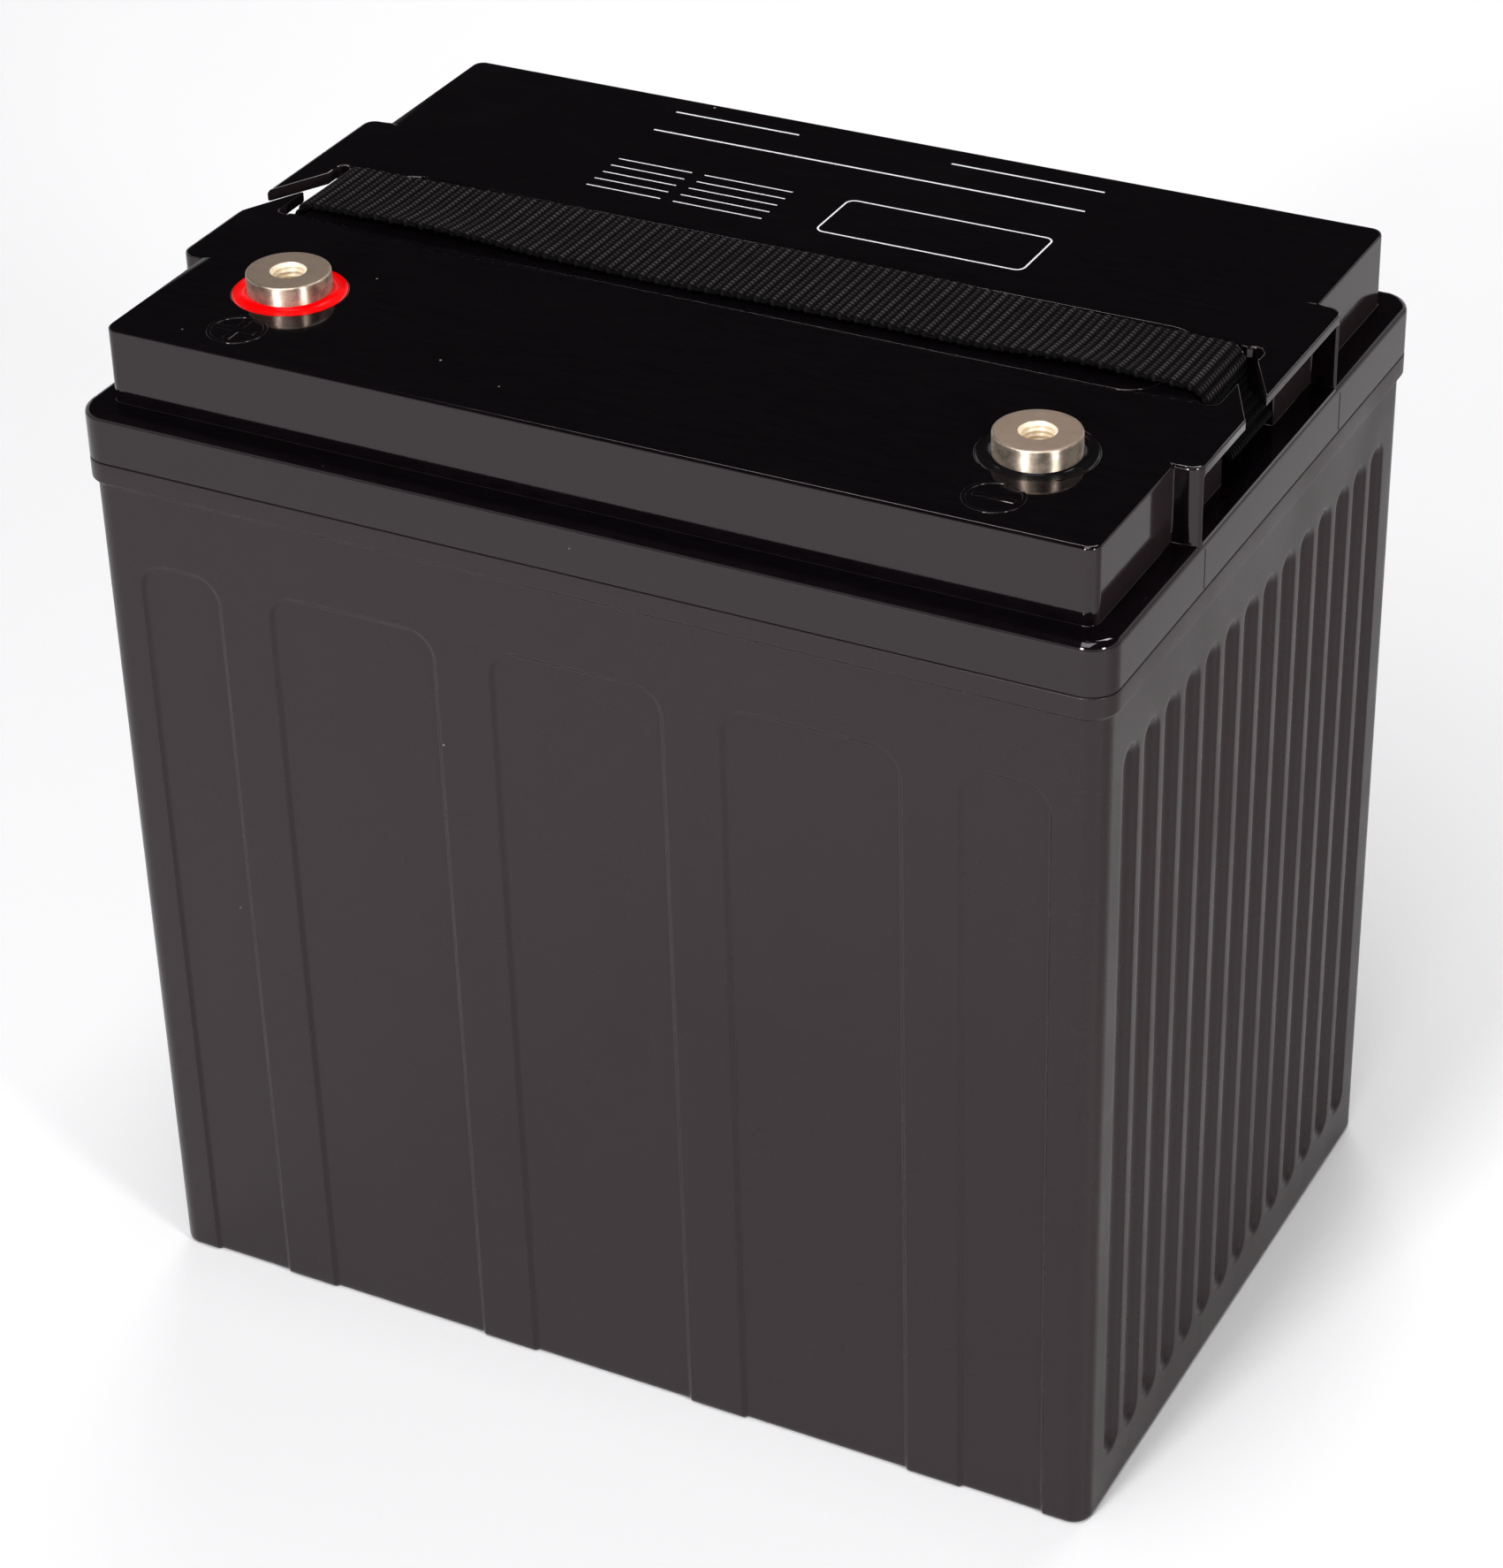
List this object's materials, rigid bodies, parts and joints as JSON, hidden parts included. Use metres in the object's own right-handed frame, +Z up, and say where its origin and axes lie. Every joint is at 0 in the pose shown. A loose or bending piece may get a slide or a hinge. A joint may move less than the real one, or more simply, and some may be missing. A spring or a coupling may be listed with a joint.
{
  "type": "deep cycle battery",
  "caption": "Sealed lead-acid block battery with ribbed black case, stepped lid, two round female-thread terminals in potted wells, and a webbing lift strap held in end brackets.",
  "frame": {"origin": "middle of the flat base, at the height of the surface it stands on", "axes": "+X along the length, from the positive terminal's end to the negative terminal's end; +Y from the terminals' long side to the other long side; +Z up"},
  "size_m": [0.26, 0.184, 0.268],
  "materials": {
    "black_plastic": "glossy moulded ABS with fine scuffs",
    "joint_resin": "cured sealing resin",
    "webbing": "black cross-ribbed woven webbing",
    "terminal_metal": "turned, tin plated",
    "rubber": "matt moulded rubber",
    "red_resin": "glossy poured resin, red",
    "black_resin": "glossy poured resin, black",
    "lead": "cast lead",
    "positive_plates": "brown lead dioxide paste on a lead grid",
    "negative_plates": "grey spongy lead paste on a lead grid",
    "glass_mat": "white absorbed glass mat"
  },
  "bodies": {
    "battery": {"case": "black_plastic", "lid": "black_plastic", "valve_cover": "black_plastic", "sealant_bead": "joint_resin", "positive_terminal": "terminal_metal", "positive_seal_ring": "rubber", "positive_potting": "red_resin", "positive_post": "lead", "negative_terminal": "terminal_metal", "negative_seal_ring": "rubber", "negative_potting": "black_resin", "negative_post": "lead", "positive_plates_1": "positive_plates", "negative_plates_1": "negative_plates", "separator_1": "glass_mat", "positive_plates_2": "positive_plates", "negative_plates_2": "negative_plates", "separator_2": "glass_mat", "positive_plates_3": "positive_plates", "negative_plates_3": "negative_plates", "separator_3": "glass_mat", "positive_plates_4": "positive_plates", "negative_plates_4": "negative_plates", "separator_4": "glass_mat", "cell_link_1": "lead", "cell_link_2": "lead", "cell_link_3": "lead"},
    "strap": {"carry_strap": "webbing"},
    "valve_1": {"valve_cap_1": "rubber"},
    "valve_2": {"valve_cap_2": "rubber"},
    "valve_3": {"valve_cap_3": "rubber"},
    "valve_4": {"valve_cap_4": "rubber"}
  },
  "joints": [
    {"name": "strap_lift", "type": "slide", "parent": "battery", "child": "strap", "axis": [0, 0, 1], "range_m": [0, 0.0075]},
    {"name": "valve_1_lift", "type": "slide", "parent": "battery", "child": "valve_1", "axis": [0, 0, 1], "range_m": [0, 0.0008], "stiffness_N_per_m": 500, "springref_m": -0.0003},
    {"name": "valve_2_lift", "type": "slide", "parent": "battery", "child": "valve_2", "axis": [0, 0, 1], "range_m": [0, 0.0008], "stiffness_N_per_m": 500, "springref_m": -0.0003},
    {"name": "valve_3_lift", "type": "slide", "parent": "battery", "child": "valve_3", "axis": [0, 0, 1], "range_m": [0, 0.0008], "stiffness_N_per_m": 500, "springref_m": -0.0003},
    {"name": "valve_4_lift", "type": "slide", "parent": "battery", "child": "valve_4", "axis": [0, 0, 1], "range_m": [0, 0.0008], "stiffness_N_per_m": 500, "springref_m": -0.0003}
  ]
}
